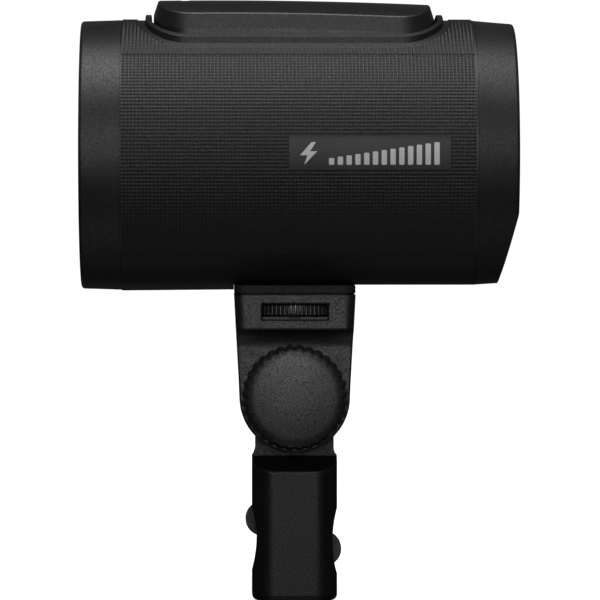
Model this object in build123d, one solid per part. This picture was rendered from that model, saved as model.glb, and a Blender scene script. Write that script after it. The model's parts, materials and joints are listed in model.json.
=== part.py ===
from build123d import *
from math import cos, pi, radians, sin, tan
import os

# A compact battery monolight on a tilting stand adapter, in millimetres.
# The origin is the middle of the stand socket's mouth, +Z runs up, the tube lies along X
# with its light-emitting end at -X, and the tilt knob faces -Y.

# ---- Driving dimensions ------------------------------------------------------------------
AXIS_Z = 138.6  # height of the tube's axis over the socket's mouth
FRONT_X = -66.3  # face of the front ring
FRONT_SEAM_X = -53.8
REAR_SEAM_X = 55.7
REAR_X = 68.2  # rim of the rear ring
SKIN_R = 42.3  # crest of the textured side panels
SMOOTH_R = 42.0  # smooth skin: top cover, belly and label patch
FRONT_RING_R = 41.7
FRONT_RING_SEAM_R = 42.07
REAR_RING_R = 41.9
REAR_TAPER = 4.5  # degrees
INNER_R = 39.7
SEAM = 0.12  # gap between neighbouring casings
SPLIT = 30.5  # the casings part this far above and below the tube's axis
BELLY_FLAT = 40.25  # the belly's flat lies this far below the axis
BELLY_FLAT_X = -18.9  # the flat starts here and runs to the rear
BEVEL_DROP = 17.75  # the rear face leans forward from here down
BEVEL_TILT = 13.5  # degrees
PANEL_RECESS = 2.2
PANEL_WALL = 1.8

BAY_X0, BAY_X1 = -44.45, 44.15
BAY_HALF_Y = 22.2
BAY_FLOOR = 28.0
BAY_WALL = 1.6
COLLAR_R = 43.7
COLLAR_WALL = 1.85
PLAN_CORNER = 11.0  # battery's corners seen from above

BATTERY_X0, BATTERY_X1 = -43.7, 43.4
BATTERY_HALF_Y = 21.5
BATTERY_R = 48.25  # crown of the battery's top, from the tube's axis
BATTERY_CROWN_X = -23.0
BATTERY_CROWN_DROP = 3.36e-4  # per square millimetre away from the crown
BATTERY_SPLIT = 36.0
BATTERY_WALL = 1.3

PIVOT_Z = 63.35
YOKE_TOP = 95.2
YOKE_HALF_Y = 16.6
YOKE_SHELF_Z = 84.5  # underside of the yoke's block
CHEEK_R = 17.2
CHEEK_OUT = 11.0
CHEEK_IN = 6.05
WHEEL_R = 16.5
WHEEL_Z0, WHEEL_Z1 = 88.8, 92.3
WHEEL_TEETH = 64
WINDOW_HALF_X = 10.65
KNOB_R = 16.5
KNOB_CAP_R = 15.1
KNOB_DOME_R = 110.0  # the cap's face is slightly domed
KNOB_SCALLOPS = 32
KNOB_BACK_Y = -11.75
KNOB_FACE_Y = -19.6
BOLT_R = 4.0
SCREW_R = 3.175
RUNNING = 0.06  # radial clearance of a shaft in its hole

SOCKET_HALF_X = 13.25
SOCKET_HALF_Y = 14.0
SOCKET_R = 8.1
SOCKET_DEPTH = 36.0
SHOULDER_Z = 40.4
NECK_Z = 45.0
TONGUE_HALF_X = 12.25
TONGUE_HALF_Y = 5.4
LOCK_Z = 18.7
LOCK_R = 3.0

TUBE_AXIS = Axis((0, 0, AXIS_Z), (1, 0, 0))
ROOM = 400  # larger than the whole object


# ---- Shape helpers -----------------------------------------------------------------------
def block(x, y, z):
    """A box from its (low, high) spans along the three axes."""
    size = [high - low for low, high in (x, y, z)]
    centre = [(high + low) / 2 for low, high in (x, y, z)]
    return Pos(*centre) * Box(*size)


def over_axis(low, high):
    """A span of heights given from the tube's axis."""
    return (AXIS_Z + low, AXIS_Z + high)


def rod_x(x0, x1, radius, y=0, z=0):
    """A cylinder along X at (y, z) from the tube's axis."""
    return Pos((x0 + x1) / 2, y, AXIS_Z + z) * Rot(0, 90, 0) * Cylinder(radius, x1 - x0)


def rod_y(y0, y1, radius, x=0, z=0):
    return Pos(x, (y0 + y1) / 2, z) * Rot(90, 0, 0) * Cylinder(radius, y1 - y0)


def rod_z(z0, z1, radius, x=0, y=0):
    return Pos(x, y, (z0 + z1) / 2) * Cylinder(radius, z1 - z0)


def tube_x(x0, x1, outer, inner):
    return rod_x(x0, x1, outer) - rod_x(x0 - 1, x1 + 1, inner)


def turned(*corners):
    """Revolve an outline of (x, radius) corners about the tube's axis."""
    outline = Polyline(*[(x, 0, AXIS_Z + r) for x, r in corners], close=True)
    return revolve(make_face(outline), TUBE_AXIS, 360)


def plan(x0, x1, half_y, corner, z0, z1):
    """A rounded rectangle seen from above, standing from z0 to z1."""
    face = Pos((x0 + x1) / 2, 0, z0) * RectangleRounded(x1 - x0, 2 * half_y, corner)
    return extrude(face, z1 - z0, dir=(0, 0, 1))


def side_outline(half_y, *corners):
    """Extrude an outline of (x, z) corners both ways along Y."""
    outline = Polyline(*[(x, 0, z) for x, z in corners], close=True)
    return extrude(make_face(outline), half_y, dir=(0, 1, 0), both=True)


def end_outline(half_x, *corners):
    """Extrude an outline of (y, z) corners both ways along X."""
    outline = Polyline(*[(0, y, z) for y, z in corners], close=True)
    return extrude(make_face(outline), half_x, dir=(1, 0, 0), both=True)


def wavy_circle(mean_r, depth, waves, steps):
    """Points of a circle whose radius rises and falls a number of times."""
    count = waves * steps
    turns = [2 * pi * i / count for i in range(count)]
    radii = [mean_r + depth * cos(waves * a) for a in turns]
    return [(r * cos(a), r * sin(a)) for r, a in zip(radii, turns)]


def above(z):
    return block((-ROOM, ROOM), (-ROOM, ROOM), (AXIS_Z + z, AXIS_Z + ROOM))


def below(z):
    return block((-ROOM, ROOM), (-ROOM, ROOM), (AXIS_Z - ROOM, AXIS_Z + z))


def around(centres, shape):
    """The same shape at every (y, z) centre, counted from the tube's axis."""
    return Part() + [Pos(0, y, z) * shape for y, z in centres]


# ---- Casings -----------------------------------------------------------------------------
SHELL_X0 = FRONT_SEAM_X + SEAM
SHELL_X1 = REAR_SEAM_X - SEAM
BEVEL = Plane(
    origin=(REAR_X, 0, AXIS_Z - BEVEL_DROP),
    x_dir=(0, 1, 0),
    z_dir=(cos(radians(BEVEL_TILT)), 0, -sin(radians(BEVEL_TILT))),
)


def inside_rear(offset):
    """Everything in front of the rear face and its bevel, set back by an offset."""
    flat = block((-ROOM, REAR_X - offset), (-ROOM, ROOM), (-ROOM, ROOM))
    seat = Pos(0, 0, -offset) * Box(ROOM, ROOM, ROOM, align=(Align.CENTER, Align.CENTER, Align.MAX))
    return flat & (BEVEL * seat)


def front_ring():
    lip_r = 36.6
    return turned(
        (FRONT_X, 38.9),
        (FRONT_X + 2.0, lip_r),
        (FRONT_X + 3.4, lip_r),
        (FRONT_X + 3.4, 38.6),
        (FRONT_SEAM_X + 3, 38.6),
        (FRONT_SEAM_X + 3, INNER_R - 0.1),
        (FRONT_SEAM_X, INNER_R - 0.1),
        (FRONT_SEAM_X, FRONT_RING_SEAM_R),
        (FRONT_X + 0.9, FRONT_RING_R),
        (FRONT_X + 0.25, FRONT_RING_R - 0.25),
        (FRONT_X, FRONT_RING_R - 0.85),
    )


def side_panel(side):
    """A textured side panel with a smooth, sunken patch for the mark."""
    shell = tube_x(SHELL_X0, SHELL_X1, SKIN_R, INNER_R)
    shell = shell & above(-SPLIT + SEAM / 2) & below(SPLIT - SEAM / 2)
    half = block((-ROOM, ROOM), (0, ROOM) if side > 0 else (-ROOM, 0), (-ROOM, ROOM))
    patch = tube_x(-2.1, 46.9, SKIN_R + 1, SMOOTH_R)
    patch &= block((-ROOM, ROOM), (-ROOM, ROOM), over_axis(-4.8, 5.7))
    return (shell & half) - patch


def bay_prism(grow, z0, z1):
    return plan(BAY_X0 - grow, BAY_X1 + grow, BAY_HALF_Y + grow, PLAN_CORNER + grow, AXIS_Z + z0, AXIS_Z + z1)


def on_cylinder(edge, radius):
    """Whether an edge's ends lie at this radius from the tube's axis."""
    return all(abs((v.Y**2 + (v.Z - AXIS_Z) ** 2) ** 0.5 - radius) < 0.01 for v in edge.vertices())


def top_cover():
    """Skin over the top, the collar round the battery bay and the bay's tray."""
    skin = tube_x(SHELL_X0, SHELL_X1, SMOOTH_R, INNER_R) & above(SPLIT + SEAM / 2)
    collar = bay_prism(COLLAR_WALL, SPLIT + 1, COLLAR_R + 2) - bay_prism(0, 0, COLLAR_R + 5)
    collar &= rod_x(-ROOM, ROOM, COLLAR_R)
    collar = fillet([e for e in collar.edges() if on_cylinder(e, COLLAR_R)], 0.35)
    tray = bay_prism(BAY_WALL, BAY_FLOOR - BAY_WALL, SPLIT + 4)
    contact_slot = block((33, 41), (-8, 8), over_axis(BAY_FLOOR - 3, BAY_FLOOR + 1))
    return skin + collar + tray - bay_prism(0, BAY_FLOOR, COLLAR_R + 5) - contact_slot


def belly_shell():
    """The smooth lower shell, round and slightly tapered in front and flat from the adapter back."""
    flat_room = block((BELLY_FLAT_X, ROOM), (-ROOM, ROOM), over_axis(-ROOM, -BELLY_FLAT))
    inner_flat = block((BELLY_FLAT_X - 2.4, ROOM), (-ROOM, ROOM), over_axis(-ROOM, -BELLY_FLAT + 2.4))
    outer = turned(
        (SHELL_X0, 0),
        (SHELL_X0, SKIN_R),
        (BELLY_FLAT_X, SMOOTH_R),
        (SHELL_X1, SMOOTH_R),
        (SHELL_X1, 0),
    )
    outer -= flat_room
    inner = rod_x(SHELL_X0 - 1, SHELL_X1 + 1, INNER_R) - inner_flat
    shell = (outer - inner) & below(-SPLIT - SEAM / 2)
    boss = rod_z(AXIS_Z - BELLY_FLAT, AXIS_Z - 31, 8.5)
    return shell + boss - rod_z(AXIS_Z - BELLY_FLAT - 1, AXIS_Z - 30, 5.5)


def tripod_insert():
    low, high = over_axis(-BELLY_FLAT, -31)
    return rod_z(low, high, 5.5) - rod_z(low - 1, high + 1, SCREW_R + RUNNING)


def rear_ring():
    """The tapered ring round the controls, flat below and cut to the rear bevel."""
    end_r = REAR_RING_R - (REAR_X - REAR_SEAM_X) * tan(radians(REAR_TAPER))
    bore_r = 38.8
    sleeve = turned(
        (REAR_SEAM_X, INNER_R - 0.1),
        (REAR_SEAM_X - 3, INNER_R - 0.1),
        (REAR_SEAM_X - 3, bore_r),
        (REAR_X, bore_r),
        (REAR_X, end_r - 0.9),
        (REAR_X - 0.25, end_r - 0.25),
        (REAR_X - 0.9, end_r),
        (REAR_SEAM_X, REAR_RING_R),
    )
    ledge = tube_x(REAR_SEAM_X, REAR_X, bore_r + 0.2, 33)
    ledge &= inside_rear(PANEL_RECESS + PANEL_WALL + 0.05)
    ledge -= inside_rear(PANEL_RECESS + PANEL_WALL + 2)
    floor_taper = side_outline(
        ROOM,
        (REAR_SEAM_X - 0.5, AXIS_Z - BELLY_FLAT),
        (REAR_X + 1, AXIS_Z - BELLY_FLAT + 0.85),
        (REAR_X + 1, AXIS_Z - ROOM),
        (REAR_SEAM_X - 0.5, AXIS_Z - ROOM),
    )
    belly_room = block((REAR_SEAM_X - 4, REAR_SEAM_X), (-ROOM, ROOM), over_axis(-ROOM, -BELLY_FLAT + 2.5))
    ring = (sleeve & inside_rear(0)) + ledge - floor_taper - belly_room
    return ring - around(PANEL_SCREWS, rod_x(40, REAR_X, 0.85))


# ---- Optics ------------------------------------------------------------------------------
GLASS_X = FRONT_X + 3.4
MAGNET_COUNT = 12
MAGNET_CIRCLE_R = 36.75


def front_glass():
    return turned(
        (GLASS_X, 0),
        (GLASS_X, 38.1),
        (GLASS_X + 0.4, 38.5),
        (GLASS_X + 2.4, 38.5),
        (GLASS_X + 2.4, 0),
    )


def magnet_centres():
    turns = [2 * pi * (i + 0.5) / MAGNET_COUNT for i in range(MAGNET_COUNT)]
    return [(MAGNET_CIRCLE_R * cos(a), MAGNET_CIRCLE_R * sin(a)) for a in turns]


def magnet_carrier():
    carrier = tube_x(GLASS_X + 2.4, GLASS_X + 7.4, 38.5, 35.0)
    return carrier - around(magnet_centres(), rod_x(GLASS_X, GLASS_X + 5.4, 1.55))


def accessory_magnets():
    return around(magnet_centres(), rod_x(GLASS_X + 2.5, GLASS_X + 5.3, 1.5))


def reflector():
    """A thin parabolic bowl with two holes for the flash tube's legs."""
    rim_x = GLASS_X + 2.7
    back = ThreePointArc((rim_x, 0, AXIS_Z + 34.7), (-45.7, 0, AXIS_Z + 22.2), (-37.6, 0, AXIS_Z + 9.4))
    front = ThreePointArc((rim_x, 0, AXIS_Z + 33.5), (-46.4, 0, AXIS_Z + 21.3), (-38.8, 0, AXIS_Z + 9.4))
    rim = Line(back @ 0, front @ 0)
    throat = Line(back @ 1, front @ 1)
    bowl = revolve(make_face([back, front, rim, throat]), TUBE_AXIS, 360)
    return bowl - around([(-13, 0), (13, 0)], rod_x(-50, -30, 2.6))


def flash_tube():
    """A ring of quartz tube with a straight leg at each end of one diameter."""
    ring = Pos(-45.5, 0, AXIS_Z) * Rot(0, 90, 0) * Torus(13, 2.1)
    return ring + around([(-13, 0), (13, 0)], rod_x(-45.5, -30.6, 1.5))


def tube_holder():
    plate = tube_x(-33, -30, 20, 8.4)
    return plate - around([(-13, 0), (13, 0)], rod_x(-34, -29, 1.55))


def modelling_light():
    """A square lamp board with its round dome."""
    board = block((-38.2, -37), (-5, 5), over_axis(-5, 5))
    return board + rod_x(-39.2, -38.2, 4.4)


def heat_sink():
    pedestal = rod_x(-37, -29.9, 7.8)
    plate = rod_x(-29.9, -27.4, 25)
    fins = [block((-27.4, -18), (-17, 17), over_axis(z - 0.7, z + 0.7)) for z in range(-16, 17, 4)]
    return pedestal + plate + fins


# ---- Inside ------------------------------------------------------------------------------
CAPACITORS = [(-12, 13.6), (12, 13.6), (-12, -13.6), (12, -13.6)]
BOARD_POSTS = [(-27, 10), (27, 10)]


def chassis():
    """Two bulkheads joined by four rails, cleared round the battery tray."""
    frame = rod_x(-16, -14, INNER_R - 0.2) + rod_x(47, 49, INNER_R - 0.2)
    tray_room = block((-60, 46.5), (-24.2, 24.2), over_axis(26, ROOM))
    frame = frame - tray_room - rod_x(-17, 50, 6)
    rails = [
        block((-15, 48), (y - 2.5, y + 2.5), over_axis(z - 2.5, z + 2.5))
        for y in (-33, 33)
        for z in (-12, 12)
    ]
    return (frame + rails) - block((-ROOM, ROOM), (-ROOM, ROOM), over_axis(-ROOM, -37.6))


def capacitors():
    return around(CAPACITORS, rod_x(-13.5, 30, 10.4) - rod_x(29.4, 31, 7))


def main_board():
    board = block((-13.5, 46.5), (-30, 30), over_axis(-1, 0.6))
    board += block((34, 44), (14, 26), over_axis(0.6, 8))
    return board + block((34, 44), (-26, -14), over_axis(0.6, 6))


def trigger_transformer():
    core = block((33, 45), (-8, 8), over_axis(0.6, 5))
    return core + rod_x(34, 44, 5, 0, 9.6)


def control_board():
    board = rod_x(55.4, 57, 33) - block((0, 80), (-ROOM, ROOM), over_axis(-ROOM, -28))
    return board + rod_x(57, 58.2, 6, 0, DIAL_Z)


def battery_connector():
    return block((31.5, 42.5), (-9.5, 9.5), over_axis(20, 26.3))


def bay_contacts():
    """Five blades that stand up through the bay's floor."""
    blades = [block((34, 40), (y - 0.6, y + 0.6), over_axis(26.3, 31.5)) for y in range(-6, 7, 3)]
    return Part() + blades


# ---- Rear controls -----------------------------------------------------------------------
DISPLAY_Z = 16.8
DISPLAY_HALF = (18, 10.2)
DIAL_Z = -6.6
DIAL_R = 10.0
DIAL_BORE_R = 4.6
DIAL_HUB_R = 5.9
DIAL_RIDGES = 40
BUTTON_Y = 22.0
BUTTON_R = 4.2
BUTTON_HOLE_R = 4.3
PANEL_X = REAR_X - PANEL_RECESS
PANEL_SCREWS = [(28.7, 21.4), (-28.7, 21.4), (31.5, -17), (-31.5, -17)]
FLAP_Y = -10.5  # middle of the port flap, down the bevel
FLAP_SIZE = (15.6, 7.6)


def rear_panel():
    """The recessed panel, leaned with the bevel, with its cut-outs and posts."""
    plate = (rod_x(50, REAR_X, 38.6) & inside_rear(PANEL_RECESS)) - inside_rear(PANEL_RECESS + PANEL_WALL)
    posts = around(BOARD_POSTS, rod_x(57, PANEL_X - 1, 2.4))
    window = Pos(PANEL_X, 0, AXIS_Z + DISPLAY_Z) * Rot(0, 90, 0)
    pocket_outline = RectangleRounded(2 * DISPLAY_HALF[1], 2 * DISPLAY_HALF[0], 2.5)
    pocket = window * Pos(0, 0, -1) * extrude(pocket_outline, 3)
    sight = block((60, REAR_X), (-15.8, 15.8), over_axis(DISPLAY_Z - 8, DISPLAY_Z + 8))
    holes = rod_x(50, REAR_X, DIAL_HUB_R + RUNNING, 0, DIAL_Z)
    holes += around([(-BUTTON_Y, DIAL_Z), (BUTTON_Y, DIAL_Z)], rod_x(50, REAR_X, BUTTON_HOLE_R))
    holes += around(PANEL_SCREWS, rod_x(50, REAR_X, 0.85))
    holes += around(PANEL_SCREWS, rod_x(PANEL_X - 1, REAR_X + 1, 1.7))
    port = BEVEL * (Pos(0, FLAP_Y, -PANEL_RECESS) * extrude(SlotOverall(9.5, 3.7), 4, both=True))
    return plate + posts - pocket - sight - holes - port


def display_window():
    window = Pos(PANEL_X, 0, AXIS_Z + DISPLAY_Z) * Rot(0, 90, 0) * Pos(0, 0, -1)
    outline = RectangleRounded(2 * DISPLAY_HALF[1] - 0.2, 2 * DISPLAY_HALF[0] - 0.2, 2.4)
    return window * extrude(outline, 1)


def display_module():
    return block((60.5, 64.1), (-17, 17), over_axis(DISPLAY_Z - 9, DISPLAY_Z + 9))


def dial():
    """A ridged ring with a hub that turns in the panel."""
    ridges = Polyline(*wavy_circle(DIAL_R - 0.15, 0.15, DIAL_RIDGES, 4), close=True)
    seat = Pos(PANEL_X + 0.1, 0, AXIS_Z + DIAL_Z) * Rot(0, 90, 0)
    rim = seat * extrude(make_face(ridges), 1.8)
    hub = rod_x(60, PANEL_X + 0.2, DIAL_HUB_R, 0, DIAL_Z)
    return rim + hub - rod_x(50, REAR_X + 1, DIAL_BORE_R, 0, DIAL_Z)


def dial_button():
    return rod_x(60.5, PANEL_X + 1.7, DIAL_BORE_R - 0.08, 0, DIAL_Z)


def panel_button(y):
    stem = rod_x(60, PANEL_X + 1, BUTTON_R, y, DIAL_Z)
    return stem + rod_x(60, 61.4, BUTTON_R + 1, y, DIAL_Z)


def panel_screws():
    head = rod_x(PANEL_X - 0.95, PANEL_X - 0.05, 1.6) - rod_x(PANEL_X - 0.5, PANEL_X + 1, 0.7)
    return around(PANEL_SCREWS, head + rod_x(PANEL_X - 5, PANEL_X - 0.9, 0.8))


def port_flap():
    """The rubber flap over the port, hinged along its lower edge."""
    face = RectangleRounded(FLAP_SIZE[0], FLAP_SIZE[1], 2)
    return BEVEL * (Pos(0, FLAP_Y, -PANEL_RECESS + 0.1) * extrude(face, 1.1))


def charge_port():
    outer = extrude(SlotOverall(9.2, 3.4), -6)
    inner = extrude(SlotOverall(8.4, 2.6), -5)
    return BEVEL * (Pos(0, FLAP_Y, -PANEL_RECESS - 0.3) * (outer - inner))


# ---- Battery -----------------------------------------------------------------------------
LATCH_HALF_Y = 6.0
NOTCH_X = -34.0
NOTCH_HALF_X = 1.4
CELL_STACK = [(30.3, 35.7), (36.1, 41.5)]


def crown_radius(x):
    return BATTERY_R - BATTERY_CROWN_DROP * (x - BATTERY_CROWN_X) ** 2


def barrel(shrink):
    """A gently barrelled body of revolution that sets the battery's top."""
    half = 60
    start, middle, end = [(x, 0, AXIS_Z + crown_radius(x) - shrink) for x in (-half, 0, half)]
    crown = ThreePointArc(start, middle, end)
    rest = Polyline(end, (half, 0, AXIS_Z), (-half, 0, AXIS_Z), start)
    return revolve(make_face([crown, *rest.edges()]), TUBE_AXIS, 360)


def battery_block(shrink):
    """The battery's outer form, or its cavity when shrunk by a wall."""
    x0, x1 = BATTERY_X0 + shrink, BATTERY_X1 - shrink
    low = AXIS_Z + BAY_FLOOR + 0.05 + shrink
    form = plan(x0, x1, BATTERY_HALF_Y - shrink, PLAN_CORNER - shrink, low, AXIS_Z + 60) & barrel(shrink)
    rim = [e for e in form.edges() if e.center().Z > AXIS_Z + 41]
    form = chamfer(rim, length=1.4, length2=4.2, reference=form.faces().sort_by(Axis.Z)[-1])
    return fillet(form.faces().sort_by(Axis.Z)[-1].edges(), 0.8)


def latch_room(grow):
    return block(
        (39.3 - 8 * grow, 60),
        (-LATCH_HALF_Y - grow, LATCH_HALF_Y + grow),
        over_axis(39.7 - grow, 46.0 + grow),
    )


def battery_lid():
    lid = (battery_block(0) - battery_block(BATTERY_WALL)) & above(BATTERY_SPLIT + 0.05)
    notch = plan(NOTCH_X - NOTCH_HALF_X, NOTCH_X + NOTCH_HALF_X, 5.2, 1.3, AXIS_Z + 44, AXIS_Z + 60)
    lamps = around(charge_lamp_centres(), rod_z(AXIS_Z + 44, AXIS_Z + 60, 0.65, NOTCH_X + 5))
    return lid - notch - lamps - latch_room(0.2)


def battery_case():
    """The lower shell with a recess for the head's contact blades."""
    shell = (battery_block(0) - battery_block(BATTERY_WALL)) & below(BATTERY_SPLIT)
    recess_wall = block((31.7, 41.9), (-9.1, 9.1), over_axis(BAY_FLOOR + 0.5, 34.2))
    recess = block((32.5, 41.1), (-8.3, 8.3), over_axis(BAY_FLOOR - 1, 33.4))
    return shell + recess_wall - recess


def battery_terminals():
    body = block((32.6, 41.0), (-8.2, 8.2), over_axis(29.0, 33.3))
    slots = [block((30, 44), (y - 0.9, y + 0.9), over_axis(28, 32)) for y in range(-6, 7, 3)]
    return body - slots


def battery_cells():
    cells = [plan(-41, 30.5, 17.5, 7, AXIS_Z + z0, AXIS_Z + z1) for z0, z1 in CELL_STACK]
    return Part() + cells


def battery_board():
    return block((31.5, 37.2), (-15, 15), over_axis(34.6, 36.2))


def charge_lamp_centres():
    return [(y, 0) for y in (-4.5, -1.5, 1.5, 4.5)]


def charge_lamps():
    return around(charge_lamp_centres(), rod_z(AXIS_Z + 45.2, AXIS_Z + 47.8, 0.6, NOTCH_X + 5))


def battery_button():
    """A slim bar that sits just under the lid's surface."""
    x0, x1 = NOTCH_X - NOTCH_HALF_X + 0.1, NOTCH_X + NOTCH_HALF_X - 0.1
    bar = plan(x0, x1, 5.1, 1.2, AXIS_Z + 44.5, AXIS_Z + 60)
    return bar & barrel(0.35)


def release_latch():
    return battery_block(0) & latch_room(0)


# ---- Stand adapter -----------------------------------------------------------------------
def mounting_pad():
    low, high = YOKE_TOP, AXIS_Z - BELLY_FLAT
    pad = plan(-18.8, 18.8, YOKE_HALF_Y - 0.3, 3.5, low + 0.5, high)
    pad = fillet(pad.edges().group_by(Axis.Z)[0] + pad.edges().group_by(Axis.Z)[-1], 0.4)
    foot = plan(-17.6, 17.6, YOKE_HALF_Y - 1.2, 3, low, low + 0.5)
    return pad + foot - rod_z(low - 1, high + 1, 3.6)


def is_shelf_edge(edge):
    middle = edge.center()
    return abs(middle.Z - YOKE_SHELF_Z) < 0.05 and abs(middle.Y) > YOKE_HALF_Y - 0.1


def is_cheek_edge(edge):
    """The cheeks' outer outline, below the cove."""
    middle = edge.center()
    return abs(abs(middle.Y) - CHEEK_OUT) < 0.05 and middle.Z < YOKE_SHELF_Z - 6 and edge.length > 9


def yoke():
    """A block over two cheeks, with the wheel's slot and the tongue's slot."""
    front = side_outline(
        YOKE_HALF_Y,
        (-18.85, YOKE_TOP),
        (-18.3, YOKE_SHELF_Z),
        (-17.4, PIVOT_Z + 5),
        (-CHEEK_R, PIVOT_Z),
        (CHEEK_R, PIVOT_Z),
        (17.4, PIVOT_Z + 5),
        (18.3, YOKE_SHELF_Z),
        (18.85, YOKE_TOP),
    )
    body = front + rod_y(-YOKE_HALF_Y, YOKE_HALF_Y, CHEEK_R, 0, PIVOT_Z)
    uprights = body.edges().filter_by(lambda e: abs(e.center().X) > 18 and e.center().Z > YOKE_SHELF_Z)
    body = fillet([e for e in uprights if abs(abs(e.center().Y) - YOKE_HALF_Y) < 0.01], 3.0)
    cove = YOKE_HALF_Y - CHEEK_OUT
    for side in (-1, 1):
        outside = sorted((side * CHEEK_OUT, side * ROOM))
        shade = block((-ROOM, ROOM), outside, (0, YOKE_SHELF_Z))
        under_shelf = sorted((side * CHEEK_OUT, side * YOKE_HALF_Y))
        corner = block((-ROOM, ROOM), under_shelf, (YOKE_SHELF_Z - cove, YOKE_SHELF_Z))
        round_cove = Pos(0, side * YOKE_HALF_Y, YOKE_SHELF_Z - cove) * Rot(0, 90, 0) * Cylinder(cove, ROOM)
        body = body - (shade - (corner - round_cove))
    body = fillet([e for e in body.edges() if is_shelf_edge(e) or is_cheek_edge(e)], 0.7)
    tongue_slot = block((-ROOM, ROOM), (-CHEEK_IN, CHEEK_IN), (0, PIVOT_Z + 14.2))
    wheel_slot = rod_z(WHEEL_Z0 - 0.3, WHEEL_Z1 + 0.3, WHEEL_R + 0.4)
    windows = block((-WINDOW_HALF_X, WINDOW_HALF_X), (11.5, ROOM), (88.5, 93.0))
    windows += block((-WINDOW_HALF_X, WINDOW_HALF_X), (YOKE_HALF_Y - 0.6, ROOM), (87.3, 93.0))
    windows += block((-1.8, 1.8), (11.5, ROOM), (87.6, 89))
    windows += mirror(windows, Plane.XZ)
    bolt_hole = rod_y(-30, 30, BOLT_R + RUNNING, 0, PIVOT_Z)
    nut_outline = RegularPolygon(6.6, 6, major_radius=False)
    nut_pocket = Pos(0, 7.0, PIVOT_Z) * Rot(-90, 0, 0) * extrude(nut_outline, 20)
    screw_hole = rod_z(85.6, YOKE_TOP + 1, 3.6)
    return body - tongue_slot - wheel_slot - windows - bolt_hole - nut_pocket - screw_hole


def yoke_nut():
    nut = Pos(0, 7.05, PIVOT_Z) * Rot(-90, 0, 0) * extrude(RegularPolygon(6.5, 6, major_radius=False), 3.9)
    return nut - rod_y(-30, 30, BOLT_R + RUNNING, 0, PIVOT_Z)


def thumbwheel():
    teeth = Polyline(*wavy_circle(WHEEL_R - 0.22, 0.22, WHEEL_TEETH, 4), close=True)
    wheel = Pos(0, 0, WHEEL_Z0) * extrude(make_face(teeth), WHEEL_Z1 - WHEEL_Z0)
    return wheel - rod_z(WHEEL_Z0 - 1, WHEEL_Z1 + 1, SCREW_R)


def mounting_screw():
    return rod_z(86, 105.5, SCREW_R)


def spring_washer():
    return rod_y(-11.6, -CHEEK_OUT, 9, 0, PIVOT_Z) - rod_y(-12, -10, BOLT_R + 0.4, 0, PIVOT_Z)


def knob_outline(radius, forward):
    """The knob's scalloped section, a distance in front of its back face."""
    face = make_face(Polyline(*wavy_circle(radius - 0.3, 0.3, KNOB_SCALLOPS, 4), close=True))
    return Pos(0, KNOB_BACK_Y - forward, PIVOT_Z) * Rot(90, 0, 0) * face


def tilt_knob():
    """A scalloped skirt that narrows to the round cap's seat."""
    skirt = loft([knob_outline(KNOB_R, 0), knob_outline(KNOB_CAP_R + 0.6, 5.6)], ruled=True)
    skirt -= rod_y(-30, KNOB_BACK_Y - 4.4, KNOB_CAP_R - 1.6, 0, PIVOT_Z)
    return skirt - rod_y(-30, 0, BOLT_R + RUNNING, 0, PIVOT_Z)


def knob_cap():
    """The domed cap that closes the knob."""
    plug_y = KNOB_BACK_Y - 4.45
    seat_y = KNOB_BACK_Y - 5.65
    plug = rod_y(seat_y, plug_y, KNOB_CAP_R - 1.7, 0, PIVOT_Z)
    cap = rod_y(KNOB_FACE_Y, seat_y, KNOB_CAP_R, 0, PIVOT_Z)
    cap &= Pos(0, KNOB_FACE_Y + KNOB_DOME_R, PIVOT_Z) * Sphere(KNOB_DOME_R)
    rim = cap.edges().filter_by(GeomType.CIRCLE).sort_by(Axis.Y)[0]
    return fillet(rim, 0.3) + plug


def tilt_bolt():
    return rod_y(KNOB_BACK_Y - 4.0, 12.4, BOLT_R, 0, PIVOT_Z)


def friction_washers():
    near = rod_y(-5.95, -TONGUE_HALF_Y, 11.5, 0, PIVOT_Z) - rod_y(-8, 0, BOLT_R + RUNNING, 0, PIVOT_Z)
    return near + mirror(near, Plane.XZ)


def pivot_bush():
    return rod_y(-TONGUE_HALF_Y, TONGUE_HALF_Y, 6, 0, PIVOT_Z) - rod_y(-8, 8, BOLT_R + RUNNING, 0, PIVOT_Z)


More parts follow.
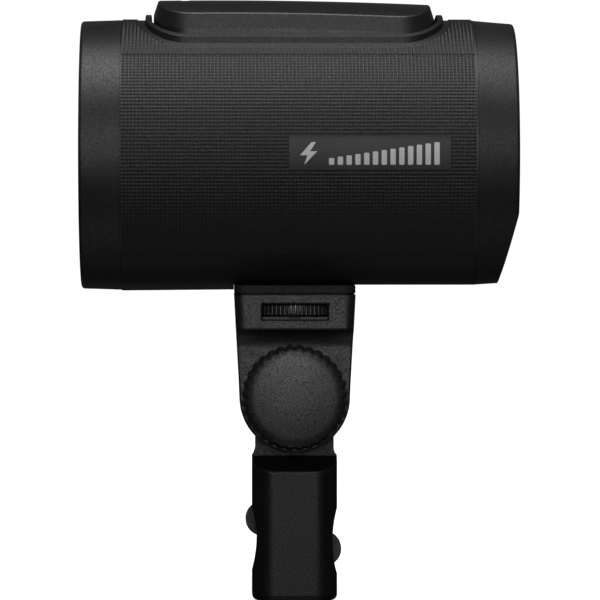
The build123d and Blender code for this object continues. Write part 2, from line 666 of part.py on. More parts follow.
def base_socket():
    """The waisted socket with sloping shoulders and the tongue above."""
    body = plan(-SOCKET_HALF_X, SOCKET_HALF_X, SOCKET_HALF_Y, 6.8, 0, NECK_Z)
    waist_z, waist_depth, waist_rise = 18.6, 1.5, 10.35
    waist_r = (waist_rise**2 + waist_depth**2) / (2 * waist_depth)
    for side in (-1, 1):
        x = side * (SOCKET_HALF_X + waist_r - waist_depth)
        body -= rod_y(-ROOM, ROOM, waist_r, x, waist_z)
        shoulder = end_outline(
            ROOM,
            (side * TONGUE_HALF_Y, NECK_Z + 1),
            (side * TONGUE_HALF_Y, NECK_Z),
            (side * SOCKET_HALF_Y, SHOULDER_Z),
            (side * (SOCKET_HALF_Y + 2), SHOULDER_Z - 1),
            (side * (SOCKET_HALF_Y + 2), NECK_Z + 1),
        )
        body -= shoulder
    body = fillet(body.edges().group_by(Axis.Z)[0], 1.9)
    fronts = [e for e in body.edges() if abs(e.center().Z - SHOULDER_Z) < 0.6 and abs(e.center().Y) > 12]
    body = fillet(fronts, 0.8)
    tongue = side_outline(
        TONGUE_HALF_Y,
        (-SOCKET_HALF_X, NECK_Z - 6),
        (-SOCKET_HALF_X, NECK_Z - 1.2),
        (-SOCKET_HALF_X + 0.35, NECK_Z),
        (-TONGUE_HALF_X, NECK_Z + 2),
        (-TONGUE_HALF_X, PIVOT_Z),
        (TONGUE_HALF_X, PIVOT_Z),
        (TONGUE_HALF_X, NECK_Z + 2),
        (SOCKET_HALF_X - 0.35, NECK_Z),
        (SOCKET_HALF_X, NECK_Z - 1.2),
        (SOCKET_HALF_X, NECK_Z - 6),
    )
    tongue += rod_y(-TONGUE_HALF_Y, TONGUE_HALF_Y, TONGUE_HALF_X, 0, PIVOT_Z)
    body = body + tongue - rod_y(-20, 20, 6, 0, PIVOT_Z)
    body -= rod_z(-1, SOCKET_DEPTH, SOCKET_R)
    return body - rod_y(0, 30, LOCK_R + RUNNING, 0, LOCK_Z)


def lock_screw():
    return rod_y(9.6, 23.5, LOCK_R, 0, LOCK_Z)


def pressure_pad():
    return rod_y(8.3, 9.6, LOCK_R - 0.1, 0, LOCK_Z)


def wing_knob():
    """A two-lobed wing on a round hub."""
    hub = rod_y(15.2, 24.6, 5.4, 0, LOCK_Z)
    wings = hub
    for side in (-1, 1):
        x, z = side * 9.9, LOCK_Z - side * 4.75
        arm = Pos(side * 5, 19.9, LOCK_Z - side * 2.4) * Rot(0, 25.6, 0) * Box(11, 5.2, 7)
        wings += rod_y(17.3, 22.5, 5.3, x, z) + arm
    wings = fillet(wings.faces().sort_by(Axis.Y)[-1].edges(), 0.6)
    return wings - rod_y(10, 23.6, LOCK_R + RUNNING, 0, LOCK_Z)


# ---- Files -------------------------------------------------------------------------------
NODES = {
    "front_ring": front_ring,
    "side_panel_left": lambda: side_panel(-1),
    "side_panel_right": lambda: side_panel(1),
    "top_cover": top_cover,
    "belly_shell": belly_shell,
    "tripod_insert": tripod_insert,
    "rear_ring": rear_ring,
    "front_glass": front_glass,
    "magnet_carrier": magnet_carrier,
    "accessory_magnets": accessory_magnets,
    "reflector": reflector,
    "flash_tube": flash_tube,
    "tube_holder": tube_holder,
    "modelling_light": modelling_light,
    "heat_sink": heat_sink,
    "chassis": chassis,
    "capacitors": capacitors,
    "main_board": main_board,
    "trigger_transformer": trigger_transformer,
    "control_board": control_board,
    "battery_connector": battery_connector,
    "bay_contacts": bay_contacts,
    "rear_panel": rear_panel,
    "display_window": display_window,
    "display_module": display_module,
    "dial": dial,
    "dial_button": dial_button,
    "power_button": lambda: panel_button(BUTTON_Y),
    "test_button": lambda: panel_button(-BUTTON_Y),
    "panel_screws": panel_screws,
    "port_flap": port_flap,
    "charge_port": charge_port,
    "battery_lid": battery_lid,
    "battery_case": battery_case,
    "battery_terminals": battery_terminals,
    "battery_cells": battery_cells,
    "battery_board": battery_board,
    "charge_lamps": charge_lamps,
    "battery_button": battery_button,
    "release_latch": release_latch,
    "mounting_pad": mounting_pad,
    "yoke": yoke,
    "yoke_nut": yoke_nut,
    "thumbwheel": thumbwheel,
    "mounting_screw": mounting_screw,
    "spring_washer": spring_washer,
    "tilt_knob": tilt_knob,
    "knob_cap": knob_cap,
    "tilt_bolt": tilt_bolt,
    "friction_washers": friction_washers,
    "pivot_bush": pivot_bush,
    "base_socket": base_socket,
    "lock_screw": lock_screw,
    "pressure_pad": pressure_pad,
    "wing_knob": wing_knob,
}

os.makedirs("parts", exist_ok=True)
for name, make in NODES.items():
    export_step(make(), f"parts/{name}.step")
    print(name)
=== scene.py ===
import json
from math import atan2, cos, hypot, pi, radians, sin, sqrt

import bmesh
import bpy
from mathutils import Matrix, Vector


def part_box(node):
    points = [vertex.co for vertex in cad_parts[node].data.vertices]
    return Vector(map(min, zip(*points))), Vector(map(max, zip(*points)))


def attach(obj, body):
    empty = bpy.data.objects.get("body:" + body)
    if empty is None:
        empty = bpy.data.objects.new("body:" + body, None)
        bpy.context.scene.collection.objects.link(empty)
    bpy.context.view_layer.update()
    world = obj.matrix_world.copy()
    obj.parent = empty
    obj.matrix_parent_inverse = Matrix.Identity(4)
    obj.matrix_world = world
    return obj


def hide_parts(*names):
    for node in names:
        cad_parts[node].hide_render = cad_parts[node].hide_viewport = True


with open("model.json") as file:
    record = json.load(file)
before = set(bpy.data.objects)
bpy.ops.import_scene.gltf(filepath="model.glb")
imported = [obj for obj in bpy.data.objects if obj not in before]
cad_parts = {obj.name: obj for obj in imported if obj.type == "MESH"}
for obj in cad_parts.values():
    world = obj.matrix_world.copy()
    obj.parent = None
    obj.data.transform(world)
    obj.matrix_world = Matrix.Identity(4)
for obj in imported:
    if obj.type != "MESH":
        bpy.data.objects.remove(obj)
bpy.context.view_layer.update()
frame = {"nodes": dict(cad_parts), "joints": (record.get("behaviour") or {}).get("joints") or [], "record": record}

# A compact battery monolight on a tilting stand adapter, in metres. The tube lies along X with
# its light-emitting end at -X, the tilt knob faces -Y, and the stand socket's mouth is at z = 0.

NODES = frame["nodes"]
JOINTS = {j["name"]: j for j in frame["joints"]}
MM = 0.001

# ---- Places taken from the frame ---------------------------------------------------------
PANEL_LOW, PANEL_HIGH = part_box("side_panel_left")
AXIS_Z = (PANEL_LOW.z + PANEL_HIGH.z) / 2  # height of the tube's axis
SKIN_R = -PANEL_LOW.y  # crest of the dimpled skin
SMOOTH_R = SKIN_R - 0.3 * MM  # label patch, top cover and belly
INNER_R = SKIN_R - 2.6 * MM
PIVOT = Vector(JOINTS["head_tilt"]["pos_m"])


# ---- Node helpers ------------------------------------------------------------------------
class Shader:
    """A node material, with short calls for the nodes that these finishes share."""

    def __init__(self, name):
        self.material = bpy.data.materials.new(name)
        self.material.use_nodes = True
        self.tree = self.material.node_tree
        self.bsdf = self.tree.nodes["Principled BSDF"]
        self.place = self.tree.nodes.new("ShaderNodeTexCoord").outputs["Object"]

    def node(self, kind, **inputs):
        made = self.tree.nodes.new(kind)
        for key, value in inputs.items():
            self.feed(made.inputs[key.replace("_", " ")], value)
        return made

    def feed(self, socket, value):
        if isinstance(value, bpy.types.NodeSocket):
            self.tree.links.new(value, socket)
        else:
            socket.default_value = value

    def set(self, socket, value):
        self.feed(self.bsdf.inputs[socket], value)

    def noise(self, size, detail=2.0, rough=0.5, stretch=None):
        """Noise whose grains are about this size, in metres."""
        place = self.place
        if stretch:
            mapping = self.node("ShaderNodeMapping", Vector=self.place)
            mapping.inputs["Scale"].default_value = stretch
            place = mapping.outputs["Vector"]
        made = self.node("ShaderNodeTexNoise", Vector=place, Scale=1 / size, Detail=detail, Roughness=rough)
        return made.outputs["Fac"]

    def ramp(self, value, low, high, out_low, out_high):
        made = self.node("ShaderNodeMapRange", Value=value)
        spans = (("From Min", low), ("From Max", high), ("To Min", out_low), ("To Max", out_high))
        for key, number in spans:
            made.inputs[key].default_value = number
        return made.outputs["Result"]

    def between(self, value, colour_a, colour_b):
        made = self.tree.nodes.new("ShaderNodeMix")
        made.data_type = "RGBA"
        self.feed(made.inputs["Factor"], value)
        made.inputs["A"].default_value = (*colour_a, 1)
        made.inputs["B"].default_value = (*colour_b, 1)
        return made.outputs["Result"]

    def maths(self, operation, a, b):
        made = self.tree.nodes.new("ShaderNodeMath")
        made.operation = operation
        self.feed(made.inputs[0], a)
        self.feed(made.inputs[1], b)
        return made.outputs["Value"]

    def bump(self, height, depth, strength=1.0, over=None):
        """Relief of a given depth in metres, laid over an earlier bump if one is given."""
        made = self.node("ShaderNodeBump", Height=height, Strength=strength, Distance=depth)
        if over is not None:
            self.feed(made.inputs["Normal"], over)
        return made.outputs["Normal"]


def moulded(name, shade, roughness, grain, depth, fleck=0.12, sheen=0.5, speckle=0.08):
    """Moulded black plastic: a spark-eroded grain, slight mottling and scattered worn flecks."""
    s = Shader(name)
    tint = (1.0, 1.0, 1.02)
    fine = s.noise(grain, detail=3.0, rough=0.6)
    broad = s.noise(18 * MM, detail=2.0)
    darker = [shade * 0.85 * c for c in tint]
    lighter = [shade * 1.15 * c for c in tint]
    s.set("Base Color", s.between(s.ramp(broad, 0.3, 0.7, 0, 1), darker, lighter))
    grainy = s.ramp(fine, 0.35, 0.65, roughness + fleck, roughness - fleck)
    worn = s.maths("ADD", grainy, s.ramp(broad, 0.3, 0.7, -0.02, 0.02))
    s.set("Roughness", worn)
    s.set("Specular IOR Level", s.ramp(fine, 0.38, 0.62, sheen - speckle, sheen + speckle))
    s.bsdf.inputs["IOR"].default_value = 1.5
    s.set("Normal", s.bump(fine, depth))
    return s.material


def metal(name, colour, roughness, stretch, grain=0.25 * MM):
    """Turned, brushed or plated metal with a lay of fine lines and faint staining."""
    s = Shader(name)
    lines = s.noise(grain, detail=2.0, stretch=stretch)
    stain = s.noise(6 * MM, detail=3.0)
    s.set("Base Color", s.between(s.ramp(stain, 0.3, 0.7, 0, 1), [c * 0.86 for c in colour], colour))
    s.set("Roughness", s.ramp(lines, 0.3, 0.7, roughness - 0.08, roughness + 0.1))
    s.bsdf.inputs["Metallic"].default_value = 1.0
    s.set("Normal", s.bump(lines, 0.01 * MM))
    return s.material


def simple_gloss(name, colour_a, colour_b, roughness, grain, metallic=0.0):
    """A smooth part with mottled colour and an uneven gloss."""
    s = Shader(name)
    spots = s.noise(grain, detail=3.0)
    s.set("Base Color", s.between(s.ramp(spots, 0.3, 0.7, 0, 1), colour_a, colour_b))
    s.set("Roughness", s.ramp(spots, 0.3, 0.7, roughness - 0.05, roughness + 0.05))
    s.bsdf.inputs["Metallic"].default_value = metallic
    s.set("Normal", s.bump(spots, 0.02 * MM))
    return s.material


def frosted_glass():
    """Sand-blasted glass that hides what lies behind it."""
    s = Shader("frosted_glass")
    frost = s.noise(0.25 * MM, detail=3.0)
    haze = s.noise(12 * MM)
    s.set("Base Color", s.between(s.ramp(haze, 0.3, 0.7, 0, 1), (0.86, 0.87, 0.86), (0.95, 0.95, 0.94)))
    s.set("Roughness", s.ramp(frost, 0.3, 0.7, 0.3, 0.5))
    s.bsdf.inputs["Transmission Weight"].default_value = 0.6
    s.set("Normal", s.bump(frost, 0.03 * MM))
    return s.material


def clear_glass(name, roughness):
    s = Shader(name)
    ripple = s.noise(3 * MM)
    s.set("Base Color", s.between(ripple, (0.93, 0.95, 0.97), (0.98, 0.99, 1.0)))
    s.set("Roughness", s.ramp(ripple, 0.3, 0.7, roughness, roughness + 0.04))
    s.bsdf.inputs["Transmission Weight"].default_value = 1.0
    s.bsdf.inputs["IOR"].default_value = 1.46
    s.set("Normal", s.bump(ripple, 0.02 * MM))
    return s.material


def printed_white():
    """Slightly uneven screen-printed ink."""
    s = Shader("printed_white")
    dots = s.noise(0.3 * MM, detail=2.0)
    s.set("Base Color", s.between(s.ramp(dots, 0.3, 0.7, 0, 1), (0.8, 0.8, 0.8), (0.9, 0.9, 0.9)))
    s.set("Roughness", s.ramp(dots, 0.3, 0.7, 0.4, 0.55))
    s.set("Normal", s.bump(dots, 0.01 * MM))
    return s.material


def circuit_board():
    """Green solder mask with copper tracks showing through as paler lines."""
    s = Shader("circuit_board")
    made = s.node("ShaderNodeTexBrick", Vector=s.place, Scale=260.0)
    tracks = made.outputs["Fac"]
    s.set("Base Color", s.between(tracks, (0.012, 0.085, 0.04), (0.03, 0.16, 0.08)))
    s.set("Roughness", s.ramp(s.noise(2 * MM), 0.3, 0.7, 0.3, 0.42))
    s.set("Normal", s.bump(tracks, 0.03 * MM))
    return s.material


MATERIALS = {
    "satin_black": moulded("satin_black", 0.018, 0.46, 0.45 * MM, 0.016 * MM, fleck=0.05, speckle=0.16),
    "textured_black": moulded("textured_black", 0.016, 0.46, 0.3 * MM, 0.006 * MM, fleck=0.04),
    "battery_black": moulded(
        "battery_black", 0.009, 0.44, 0.45 * MM, 0.014 * MM, fleck=0.05, sheen=0.8, speckle=0.2
    ),
    "adapter_black": moulded(
        "adapter_black", 0.014, 0.5, 0.4 * MM, 0.035 * MM, fleck=0.08, sheen=0.9, speckle=0.3
    ),
    "inner_black": moulded("inner_black", 0.03, 0.5, 0.6 * MM, 0.01 * MM),
    "panel_black": moulded("panel_black", 0.012, 0.4, 0.3 * MM, 0.008 * MM),
    "black_rubber": moulded("black_rubber", 0.022, 0.72, 0.4 * MM, 0.03 * MM),
    "frosted_glass": frosted_glass(),
    "quartz": clear_glass("quartz", 0.03),
    "display_glass": simple_gloss("display_glass", (0.004, 0.005, 0.007), (0.007, 0.008, 0.011), 0.1, 9 * MM),
    "reflector_metal": metal("reflector_metal", (0.86, 0.87, 0.88), 0.16, (1, 1, 1), 1.2 * MM),
    "plain_aluminium": metal("plain_aluminium", (0.62, 0.63, 0.65), 0.38, (1, 1, 1)),
    "zinc_steel": metal("zinc_steel", (0.55, 0.56, 0.58), 0.3, (1, 8, 1)),
    "black_steel": metal("black_steel", (0.06, 0.06, 0.062), 0.4, (8, 1, 1)),
    "nickel": metal("nickel", (0.75, 0.74, 0.72), 0.18, (1, 1, 1)),
    "brass": metal("brass", (0.72, 0.53, 0.24), 0.26, (1, 1, 6)),
    "circuit_board": circuit_board(),
    "capacitor_sleeve": simple_gloss(
        "capacitor_sleeve", (0.02, 0.024, 0.05), (0.035, 0.04, 0.075), 0.25, 5 * MM
    ),
    "cell_wrap": simple_gloss("cell_wrap", (0.09, 0.16, 0.34), (0.13, 0.22, 0.44), 0.3, 6 * MM),
    "lamp_phosphor": simple_gloss("lamp_phosphor", (0.82, 0.62, 0.12), (0.92, 0.74, 0.22), 0.4, 1 * MM),
    "white_ceramic": simple_gloss("white_ceramic", (0.78, 0.77, 0.73), (0.88, 0.87, 0.83), 0.6, 2 * MM),
    "white_nylon": simple_gloss("white_nylon", (0.74, 0.74, 0.71), (0.84, 0.84, 0.81), 0.5, 3 * MM),
    "lamp_lens": simple_gloss("lamp_lens", (0.45, 0.52, 0.46), (0.58, 0.64, 0.58), 0.3, 1 * MM),
}
WHITE_INK = printed_white()
# painted shade: a near-black, dull plastic for the window liners, standing in for the shade inside the thumbwheel
# windows
LINER_PAINTED_SHADE = moulded("liner_painted_shade", 0.006, 0.6, 0.3 * MM, 0.01 * MM, sheen=0.2)
FINISHES_AND_PAINTED_SHADE = {  # castings given their own material: the cap's and the wheel's own finish, and darker copies of the moulded plastic for the socket and the belly, which are painted shade
    # painted shade: the socket's darker, duller copy of the adapter plastic stands in for the shade on its front
    "base_socket": moulded(
        "socket_painted_shade", 0.008, 0.42, 0.4 * MM, 0.035 * MM, fleck=0.08, sheen=0.38, speckle=0.18
    ),
    "knob_cap": moulded("cap_black", 0.007, 0.43, 0.35 * MM, 0.04 * MM, fleck=0.08, sheen=0.9, speckle=0.45),
    "thumbwheel": moulded("wheel_black", 0.02, 0.32, 0.4 * MM, 0.01 * MM, fleck=0.05, sheen=1.0, speckle=0.2),
    # painted shade: a darker copy of satin black for the underside of the tube
    "belly_shell": moulded("belly_painted_shade", 0.012, 0.44, 0.45 * MM, 0.014 * MM, fleck=0.05, speckle=0.14),
}

for entry in frame["record"]["subparts"]:
    cad = NODES[entry["node"]]
    cad.data.materials.clear()
    cad.data.materials.append(FINISHES_AND_PAINTED_SHADE.get(entry["node"], MATERIALS[entry["material_slot"]]))


# ---- Mesh helpers ------------------------------------------------------------------------
def piece(name, verts, faces, slot, body, material=None, replaces=(), sharp=35):
    """A closed mesh piece that rides on a body, smooth except across its sharp edges."""
    mesh = bpy.data.meshes.new(name)
    mesh.from_pydata([tuple(v) for v in verts], [], faces)
    mesh.validate()
    drop_loose_points(mesh)
    mesh.shade_smooth()
    mesh.set_sharp_from_angle(angle=radians(sharp))
    mesh.materials.append(material or MATERIALS[slot])
    made = bpy.data.objects.new(name, mesh)
    bpy.context.scene.collection.objects.link(made)
    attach(made, body)
    if replaces:
        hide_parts(*replaces)
    return made


def drop_loose_points(mesh):
    bm = bmesh.new()
    bm.from_mesh(mesh)
    bmesh.ops.delete(bm, geom=[v for v in bm.verts if not v.link_faces], context="VERTS")
    bm.to_mesh(mesh)
    bm.free()


def on_tube(x, angle, radius):
    """A point on the tube's skin. The angle runs from the knob's side up over the top."""
    return (x, -radius * cos(angle), AXIS_Z + radius * sin(angle))


# ---- Dimpled skin ------------------------------------------------------------------------
PITCH = 1.14 * MM
FIELD_X = -53.4 * MM  # first column of dimples
COLUMNS = 95
ROW_TURN = radians(1.543)
FIELD_TURN = radians(-46.15)  # first row on a side panel
PANEL_ROWS = 60
BOWL_R = 0.43  # share of the pitch
BOWL_FLOOR_R = 0.24
BOWL_DEPTH = 0.2 * MM
BOWL_SIDES = 8
PATCH_COLUMNS = range(45, 88)
PATCH_ROWS = range(26, 35)


def dimpled_skin(name, xs, turns, kind, base_r, body, mirrored=False, replaces=()):
    """A slab of cells on the tube. kind(column, row) says dimple, crest, smooth or None."""
    verts, faces = [], []
    index = {}

    def corner(i, j, radius):
        key = (i, j, radius)
        if key not in index:
            index[key] = len(verts)
            verts.append(on_tube(xs[i], turns[j], radius))
        return index[key]

    def level(i, j):
        if not (0 <= i < len(xs) - 1 and 0 <= j < len(turns) - 1):
            return None
        return {"dimple": SKIN_R, "crest": SKIN_R, "smooth": SMOOTH_R, None: None}[kind(i, j)]

    for i in range(len(xs) - 1):
        for j in range(len(turns) - 1):
            top = level(i, j)
            if top is None:
                continue
            around = ((i, j), (i + 1, j), (i + 1, j + 1), (i, j + 1))
            ring = [corner(*place, top) for place in around]
            low = [corner(*around[k], base_r) for k in (0, 3, 2, 1)]
            faces.append(low)
            sides = (((i, j), (i + 1, j), (i, j - 1)), ((i + 1, j), (i + 1, j + 1), (i + 1, j)))
            sides += (((i + 1, j + 1), (i, j + 1), (i, j + 1)), ((i, j + 1), (i, j), (i - 1, j)))
            for a, b, beside in sides:
                other = level(*beside)
                foot = base_r if other is None else other
                if foot < top:
                    faces.append([corner(*a, top), corner(*a, foot), corner(*b, foot), corner(*b, top)])
            if kind(i, j) == "dimple":
                add_bowl(verts, faces, ring, xs[i], xs[i + 1], turns[j], turns[j + 1])
            else:
                faces.append(ring)
    if mirrored:
        verts = [(x, -y, z) for x, y, z in verts]
        faces = [face[::-1] for face in faces]
    return piece(name, verts, faces, "textured_black", body, replaces=replaces, sharp=50)


def add_bowl(verts, faces, ring, x0, x1, turn0, turn1):
    """One concave dimple inside a square cell whose corners are already there."""
    centre_x, centre_turn = (x0 + x1) / 2, (turn0 + turn1) / 2
    rims = []
    for share, sink in ((BOWL_R, 0), (BOWL_FLOOR_R, BOWL_DEPTH)):
        first = len(verts)
        for k in range(BOWL_SIDES):
            a = 2 * pi * (k + 0.5) / BOWL_SIDES - 3 * pi / 4
            x = centre_x + share * (x1 - x0) * cos(a)
            turn = centre_turn + share * (turn1 - turn0) * sin(a)
            verts.append(on_tube(x, turn, SKIN_R - sink))
        rims.append(list(range(first, first + BOWL_SIDES)))
    rim, floor = rims
    for q in range(4):
        a, b, c = rim[2 * q - 1], rim[2 * q], rim[(2 * q + 1) % BOWL_SIDES]
        faces.append([ring[q], b, a])
        faces.append([ring[q], ring[(q + 1) % 4], c, b])
    for k in range(BOWL_SIDES):
        following = (k + 1) % BOWL_SIDES
        faces.append([rim[k], rim[following], floor[following], floor[k]])
    faces.append(floor)


def side_skins():
    low, high = PANEL_LOW.x, PANEL_HIGH.x
    xs = [low] + [FIELD_X + PITCH * i for i in range(COLUMNS + 1)] + [high]
    edge = asin_of((PANEL_HIGH.z - AXIS_Z) / SKIN_R)
    turns = [-edge] + [FIELD_TURN + ROW_TURN * j for j in range(PANEL_ROWS + 1)] + [edge]

    def kind(i, j):
        column, row = i - 1, j - 1
        if column in PATCH_COLUMNS and row in PATCH_ROWS:
            return "smooth"
        if 0 <= column < COLUMNS and 0 <= row < PANEL_ROWS:
            return "dimple"
        return "crest"

    for side, mirrored in (("left", False), ("right", True)):
        replaced = [f"side_panel_{side}"]
        dimpled_skin(f"panel_skin_{side}", xs, turns, kind, INNER_R, "head", mirrored, replaced)


def asin_of(share):
    return atan2(share, sqrt(1 - share * share))


def top_skin():
    """The dimpled border of the top cover, clear of the battery's collar."""
    collar_x = (-46.3 * MM, 46.0 * MM)
    collar_y = 24.05 * MM
    clear = 2.3 * MM
    corner_r = 12.85 * MM
    edge = asin_of((PANEL_HIGH.z - AXIS_Z) / SKIN_R) + 0.15 * MM / SKIN_R
    rows = int((pi - 2 * edge) / ROW_TURN)
    start = (pi - rows * ROW_TURN) / 2
    xs = [FIELD_X + PITCH * i for i in range(COLUMNS + 1)]
    turns = [start + ROW_TURN * j for j in range(rows + 1)]

    def kind(i, j):
        x = (xs[i] + xs[i + 1]) / 2 if i + 1 < len(xs) else xs[i]
        y = SKIN_R * cos((turns[j] + turns[j + 1]) / 2)
        beyond_x = max(collar_x[0] + corner_r - x, x - collar_x[1] + corner_r, 0)
        beyond_y = max(abs(y) - collar_y + corner_r, 0)
        return "dimple" if hypot(beyond_x, beyond_y) > corner_r + clear else None

    dimpled_skin("top_skin", xs, turns, kind, SMOOTH_R - 0.05 * MM, "head")


side_skins()
top_skin()


# ---- Printed mark ------------------------------------------------------------------------
def printed(name, outlines, body, to_world, step):
    """Flat printed shapes, cut into narrow bands so that they follow a curved skin."""
    bm = bmesh.new()
    for outline in outlines:
        bm.faces.new([bm.verts.new((x, y, 0)) for x, y in outline])
    lows = min(v.co.y for v in bm.verts)
    highs = max(v.co.y for v in bm.verts)
    y = lows + step
    while y < highs:
        geom = bm.verts[:] + bm.edges[:] + bm.faces[:]
        bmesh.ops.bisect_plane(bm, geom=geom, plane_co=(0, y, 0), plane_no=(0, 1, 0))
        y += step
    bmesh.ops.triangulate(bm, faces=bm.faces[:])
    thick = 0.03 * MM
    made = bmesh.ops.extrude_face_region(bm, geom=bm.faces[:])
    for v in made["geom"]:
        if isinstance(v, bmesh.types.BMVert):
            v.co.z += thick
    bmesh.ops.recalc_face_normals(bm, faces=bm.faces[:])
    bm.verts.index_update()
    verts = [to_world(*v.co) for v in bm.verts]
    faces = [[v.index for v in f.verts] for f in bm.faces]
    bm.free()
    return piece(name, verts, faces, "white_nylon", body, material=WHITE_INK, sharp=30)


def rounded_bar(x0, x1, y0, y1, corner, steps=4):
    points = []
    for cx, cy, start in ((x1, y1, 0), (x0, y1, 1), (x0, y0, 2), (x1, y0, 3)):
        inset_x = cx - corner if cx == x1 else cx + corner
        inset_y = cy - corner if cy == y1 else cy + corner
        for k in range(steps + 1):
            a = pi / 2 * (start + k / steps)
            points.append((inset_x + corner * cos(a), inset_y + corner * sin(a)))
    return points


BOLT = ((0.62, 1.0), (0.12, 0.42), (0.44, 0.42), (0.3, 0.0), (0.88, 0.6), (0.55, 0.6), (0.82, 1.0))
MARK_X0, MARK_X1 = 0.3 * MM, 44.6 * MM
MARK_LOW, MARK_HIGH = -3.0 * MM, 3.9 * MM
BOLT_WIDTH = 7.0 * MM
BARS = 13


def mark_outlines():
    """A lightning bolt and a row of rising power bars."""
    tall = MARK_HIGH - MARK_LOW
    outlines = [[(MARK_X0 + BOLT_WIDTH * u, MARK_LOW + tall * v) for u, v in BOLT]]
    first = MARK_X0 + BOLT_WIDTH + 2.6 * MM
    pitch = (MARK_X1 - first) / BARS
    for k in range(BARS):
        x0 = first + pitch * k
        height = tall * (0.3 + 0.7 * k / (BARS - 1))
        outlines.append(rounded_bar(x0, x0 + pitch * 0.62, MARK_LOW, MARK_LOW + height, 0.35 * MM))
    return outlines


def side_marks():
    for side, name in ((-1, "mark_left"), (1, "mark_right")):
        def to_world(x, y, z, side=side):
            turn = y / SMOOTH_R
            radius = SMOOTH_R + 0.005 * MM + z
            along = x if side < 0 else MARK_X0 + MARK_X1 - x
            return (along, side * radius * cos(turn), AXIS_Z + radius * sin(turn))

        printed(name, mark_outlines(), "head", to_world, 0.5 * MM)


side_marks()


# ---- Tilt knob ---------------------------------------------------------------------------
SCALLOPS = 32
DOME_DROP = 1.04 * MM  # how far the cap's rim lies behind its middle


def scalloped(name, profile, body, replaces, centre, steps_per_wave=10):
    """A knob turned about Y: profile rows are (y, radius, scallop depth), from the back."""
    count = SCALLOPS * steps_per_wave
    verts, faces = [], []
    for y, radius, depth in profile:
        for k in range(count):
            a = 2 * pi * k / count
            r = radius - depth * (0.5 + 0.5 * cos(SCALLOPS * a)) ** 1.6
            verts.append((centre.x + r * cos(a), y, centre.z + r * sin(a)))
    for row in range(len(profile) - 1):
        for k in range(count):
            a, b = row * count + k, row * count + (k + 1) % count
            faces.append([a, b, b + count, a + count])
    faces.append(list(range(count))[::-1])
    last = (len(profile) - 1) * count
    faces.append(list(range(last, last + count)))
    finish = FINISHES_AND_PAINTED_SHADE.get(replaces[0])
    return piece(name, verts, faces, "adapter_black", body, material=finish, replaces=replaces, sharp=50)


def tilt_knob():
    low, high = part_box("tilt_knob")
    back, front = high.y, low.y
    wide, narrow = 16.5 * MM, 15.6 * MM
    depth = 0.62 * MM
    skirt = [
        (back, wide - 0.9 * MM, 0),
        (back, wide - 0.4 * MM, depth * 0.4),
        (back - 0.25 * MM, wide - 0.08 * MM, depth * 0.9),
        (back - 0.7 * MM, wide, depth),
        (back - 3.0 * MM, wide - 0.42 * MM, depth),
        (front + 0.8 * MM, narrow + 0.05 * MM, depth),
        (front + 0.3 * MM, narrow - 0.1 * MM, depth * 0.9),
        (front + 0.05 * MM, narrow - 0.4 * MM, depth * 0.6),
        (front, narrow - 0.9 * MM, 0.1 * MM),
    ]
    scalloped("knob_skirt", skirt, "knob", ["tilt_knob"], PIVOT)
    low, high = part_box("knob_cap")
    face, seat = low.y, front
    cap_r = high.x - PIVOT.x
    ripple = 0.2 * MM
    edge = 0.3 * MM
    dome = [cap_r - edge - 2.4 * MM * k for k in range(7)]
    cap = [
        (seat + 0.5 * MM, cap_r - 1.8 * MM, 0),
        (seat, cap_r - 0.35 * MM, ripple / 2),
        (seat - 0.3 * MM, cap_r, ripple),
    ]
    rim = face + DOME_DROP
    for k in range(4):
        a = pi / 2 * k / 4
        cap.append((rim + edge * (1 - sin(a)), cap_r - edge * (1 - cos(a)), ripple * (1 - 0.1 * k)))
    for k, radius in enumerate(dome):
        cap.append((face + DOME_DROP * (radius / cap_r) ** 2, radius, ripple * 0.5 if k == 0 else 0))
    scalloped("knob_face", cap, "knob", ["knob_cap"], PIVOT)


tilt_knob()


# ---- Thumbwheel --------------------------------------------------------------------------
def thumbwheel():
    """A knurled wheel: square teeth with rounded ends."""
    low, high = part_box("thumbwheel")
    wheel_r = high.x
    teeth, steps = 74, 8
    count = teeth * steps
    bore = 3.2 * MM
    rows = [
        (low.z, wheel_r - 1.0 * MM, 0.0),
        (low.z + 0.12 * MM, wheel_r - 0.35 * MM, 0.5),
        (low.z + 0.4 * MM, wheel_r, 1.0),
        (high.z - 0.4 * MM, wheel_r, 1.0),
        (high.z - 0.12 * MM, wheel_r - 0.35 * MM, 0.5),
        (high.z, wheel_r - 1.0 * MM, 0.0),
    ]
    wave = [0, 0, 0, 0.15, 0.85, 0.85, 0.85, 0.15]
    verts, faces = [], []
    for z, radius, share in [(low.z, bore, 0)] + rows + [(high.z, bore, 0)]:
        for k in range(count):
            a = 2 * pi * k / count
            r = radius - 0.62 * MM * share * wave[k % steps]
            verts.append((r * cos(a), r * sin(a), z))
    total = len(rows) + 2
    for row in range(total):
        for k in range(count):
            a, b = row * count + k, row * count + (k + 1) % count
            c = (row + 1) % total * count
            faces.append([a, b, c + (k + 1) % count, c + k])
    finish = FINISHES_AND_PAINTED_SHADE["thumbwheel"]
    piece("knurled_wheel", verts, faces, "adapter_black", "wheel", finish, ["thumbwheel"], sharp=40)


thumbwheel()


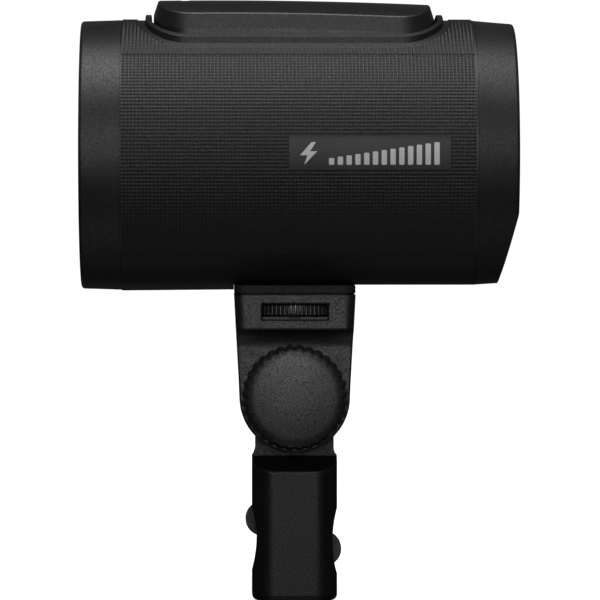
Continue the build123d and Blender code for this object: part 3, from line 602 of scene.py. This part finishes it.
def window_liners():
    """A liner that rounds the corners of each of the yoke's thumbwheel windows; its near-black, dull finish is
    painted shade inside the windows.
    """
    low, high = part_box("yoke")
    z0, z1 = 87.34 * MM, 92.96 * MM
    outer = rounded_bar(-10.61 * MM, 10.61 * MM, z0, z1, 0.3 * MM)
    inner = rounded_bar(-10.2 * MM, 10.2 * MM, z0 + 0.4 * MM, z1 - 0.4 * MM, 0.8 * MM)
    count = len(outer)
    for name, face, deep in (
        ("window_liner_shade_front", low.y + 0.02 * MM, low.y + 1.1 * MM),
        ("window_liner_shade_rear", high.y - 0.02 * MM, high.y - 1.1 * MM),
    ):
        rings = ((outer, face), (inner, face), (inner, deep), (outer, deep))
        verts = [(x, y, z) for outline, y in rings for x, z in outline]
        faces = []
        for row in range(4):
            for k in range(count):
                a, b = row * count, (row + 1) % 4 * count
                after = (k + 1) % count
                faces.append([a + k, a + after, b + after, b + k][:: 1 if face < 0 else -1])
        piece(name, verts, faces, "inner_black", "head", material=LINER_PAINTED_SHADE)


window_liners()

# ---- Camera, light and floor -------------------------------------------------------------
VIEW_WIDTH = 0.1876
DISTANCE = 1.5
TARGET = Vector((0.0018, 0.0, 0.0933))
CAMERA_AT = Vector((-0.022, -DISTANCE, 0.137))


def look(thing, at):
    thing.rotation_euler = (at - thing.location).to_track_quat("-Z", "Y").to_euler()


def camera():
    data = bpy.data.cameras.new("camera")
    data.sensor_width = 36
    data.lens = data.sensor_width * (TARGET - CAMERA_AT).length / VIEW_WIDTH
    data.clip_start, data.clip_end = 0.05, 30
    made = bpy.data.objects.new("camera", data)
    bpy.context.scene.collection.objects.link(made)
    made.location = CAMERA_AT
    look(made, TARGET)
    bpy.context.scene.camera = made


def light_strip(turn, half_width, power):
    """One strip of a soft bank that curves round the tube's axis. A turn of 0 faces the camera's side."""
    data = bpy.data.lights.new("strip", "AREA")
    data.shape = "RECTANGLE"
    data.size = 2 * half_width
    data.size_y = 2 * BANK_R * sin(radians(BANK_STEP / 2))
    data.energy = power
    made = bpy.data.objects.new("strip", data)
    bpy.context.scene.collection.objects.link(made)
    made.location = (0, -BANK_R * cos(radians(turn)), AXIS_Z + BANK_R * sin(radians(turn)))
    look(made, Vector((0, 0, AXIS_Z)))
    made.visible_camera = False


def end_card(side, power):
    """A soft card off one end of the tube, for its faces that the bank cannot reach."""
    data = bpy.data.lights.new("card", "AREA")
    data.shape = "RECTANGLE"
    data.size, data.size_y = 1.4, 1.0
    data.energy = power
    made = bpy.data.objects.new("card", data)
    bpy.context.scene.collection.objects.link(made)
    made.location = (side * 1.6, 0, AXIS_Z + 0.35)
    look(made, Vector((0, 0, AXIS_Z)))
    made.visible_camera = False


def white_stage():
    """A pale floor that curves up into a backdrop on every side but the front."""
    floor_r, rise, sweep = 3.2, 5.0, 1.2
    ring, lift = 96, 14
    verts, faces = [(0, 0, 0)], []
    profile = [(floor_r * k / 6, 0) for k in range(1, 7)]
    bends = [pi / 2 * k / lift for k in range(1, lift + 1)]
    profile += [(floor_r + sweep * sin(a), sweep * (1 - cos(a))) for a in bends]
    profile.append((floor_r + sweep, rise))
    for radius, z in profile:
        for k in range(ring):
            a = 2 * pi * k / ring
            verts.append((radius * cos(a), radius * sin(a), z))
    for k in range(ring):
        faces.append([0, 1 + k, 1 + (k + 1) % ring])
    for row in range(len(profile) - 1):
        for k in range(ring):
            a, b = 1 + row * ring + k, 1 + row * ring + (k + 1) % ring
            faces.append([a, b, b + ring, a + ring][::-1])
    mesh = bpy.data.meshes.new("floor")
    mesh.from_pydata(verts, [], faces)
    mesh.shade_smooth()
    s = Shader("floor")
    speck = s.noise(0.2, detail=2.0)
    s.set("Base Color", s.between(speck, (0.9, 0.9, 0.9), (0.93, 0.93, 0.93)))
    s.set("Roughness", s.ramp(speck, 0.3, 0.7, 0.85, 0.95))
    s.bsdf.inputs["Emission Color"].default_value = (1, 1, 1, 1)
    s.bsdf.inputs["Emission Strength"].default_value = 1.02
    mesh.materials.append(s.material)
    made = bpy.data.objects.new("floor", mesh)
    bpy.context.scene.collection.objects.link(made)
    made.visible_glossy = False
    made.visible_diffuse = False
    made.visible_shadow = False


BANK_R = 1.6
BANK_STEP = 15
OVERHEAD = ((60, 2.9), (75, 6.95), (90, 4.45))
FRONT_CARD = ((0, 1.55), (15, 3.45))
FLOOR_BOUNCE = ((-45, 0.14), (-60, 0.38), (-75, 0.36), (-105, 0.15))
BACK_CARD = ((150, 0.31), (165, 0.77), (210, 0.5))


def lights():
    for bank, half_width in ((OVERHEAD, 0.35), (FRONT_CARD, 0.2), (FLOOR_BOUNCE, 0.35), (BACK_CARD, 2.2)):
        for turn, power in bank:
            light_strip(turn, half_width, power)
    for side in (-1, 1):
        end_card(side, 0.4)
    world = bpy.data.worlds.new("studio")
    bpy.context.scene.world = world
    world.use_nodes = True
    world.node_tree.nodes["Background"].inputs["Color"].default_value = (1, 1, 1, 1)
    world.node_tree.nodes["Background"].inputs["Strength"].default_value = 0.002
    bpy.context.scene.view_settings.view_transform = "Standard"


camera()
white_stage()
lights()
